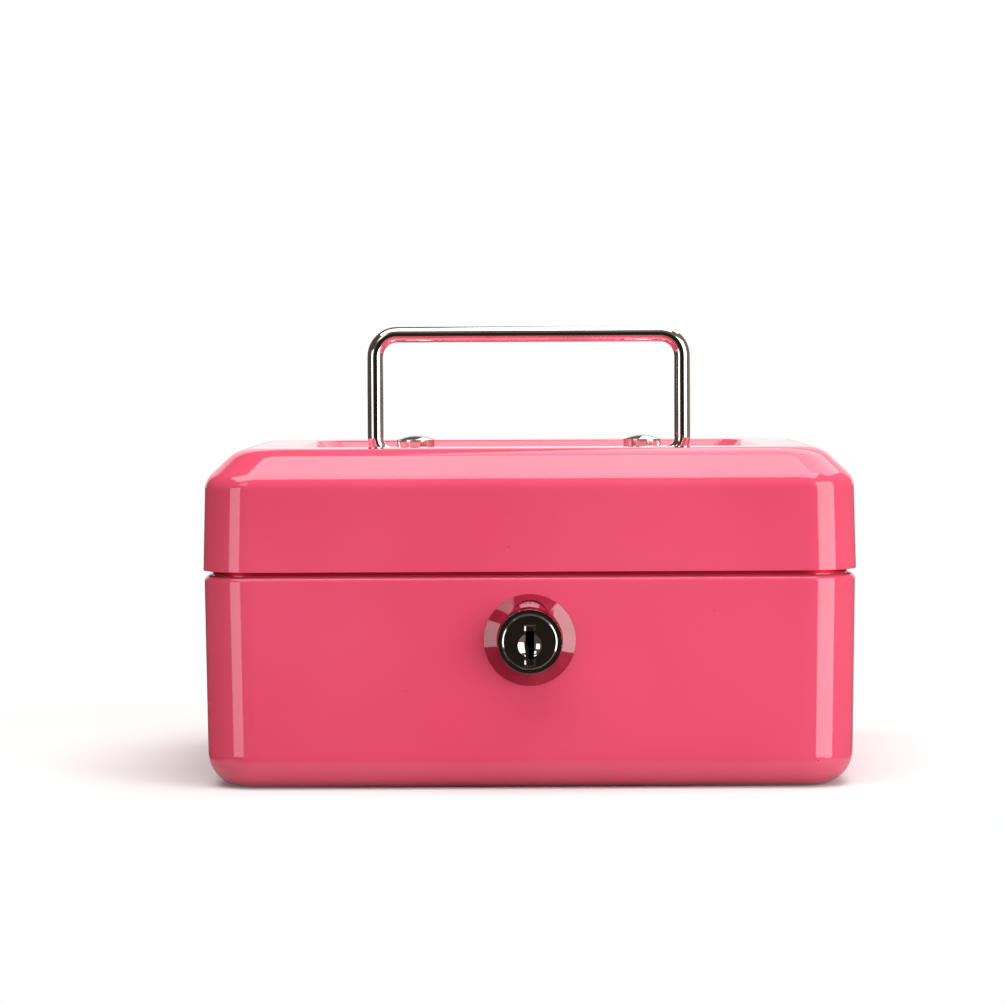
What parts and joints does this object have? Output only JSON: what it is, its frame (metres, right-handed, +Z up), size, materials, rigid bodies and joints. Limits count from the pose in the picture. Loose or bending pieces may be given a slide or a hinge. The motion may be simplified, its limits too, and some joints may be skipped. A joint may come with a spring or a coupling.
{
  "type": "cash box",
  "caption": "Small painted steel cash box with a bevelled hinged lid, a wire carrying handle in a sunk well, a cylinder lock in a conical ring and a lift-out coin tray inside.",
  "frame": {"origin": "middle of the flat underside", "axes": "+X to the right of someone facing the lock, +Y to the back, +Z up"},
  "size_m": [0.1524, 0.1249, 0.1077],
  "materials": {
    "pink_paint": "glossy pink paint on pressed steel",
    "ring_paint": "glossy deep pink enamel on cast metal",
    "chrome_plate": "bright chrome plate",
    "lock_nickel": "polished nickel plate",
    "zinc_steel": "zinc-plated steel",
    "pin_brass": "turned brass",
    "tray_plastic": "moulded black plastic"
  },
  "bodies": {
    "base": {"base_shell": "pink_paint", "base_hinge_leaf": "pink_paint", "hinge_pin": "zinc_steel", "lock_ring": "ring_paint", "lock_barrel": "lock_nickel", "lock_clip": "zinc_steel", "driver_pins": "pin_brass", "pin_springs": "zinc_steel"},
    "lid": {"lid_shell": "pink_paint", "lid_hinge_leaf": "pink_paint", "lid_catch": "zinc_steel", "left_handle_post": "chrome_plate", "right_handle_post": "chrome_plate", "post_washers": "zinc_steel"},
    "handle": {"handle_bail": "chrome_plate"},
    "lock_core": {"lock_plug": "lock_nickel", "key_pins": "pin_brass", "lock_cam": "zinc_steel", "cam_washer": "zinc_steel", "cam_screw": "zinc_steel"},
    "tray": {"coin_tray": "tray_plastic"}
  },
  "joints": [
    {"name": "lid_hinge", "type": "hinge", "parent": "base", "child": "lid", "pos_m": [0, 0.058, 0.0508], "axis": [-1, 0, 0], "range_deg": [0, 110]},
    {"name": "handle_swing", "type": "hinge", "parent": "lid", "child": "handle", "pos_m": [0, 0, 0.0762], "axis": [1, 0, 0], "range_deg": [-90, 90]},
    {"name": "lock_turn", "type": "hinge", "parent": "base", "child": "lock_core", "pos_m": [0, -0.05, 0.0348], "axis": [0, 1, 0], "range_deg": [0, 90]},
    {"name": "tray_lift", "type": "slide", "parent": "base", "child": "tray", "axis": [0, 0, 1], "range_m": [0, 0.01]}
  ]
}
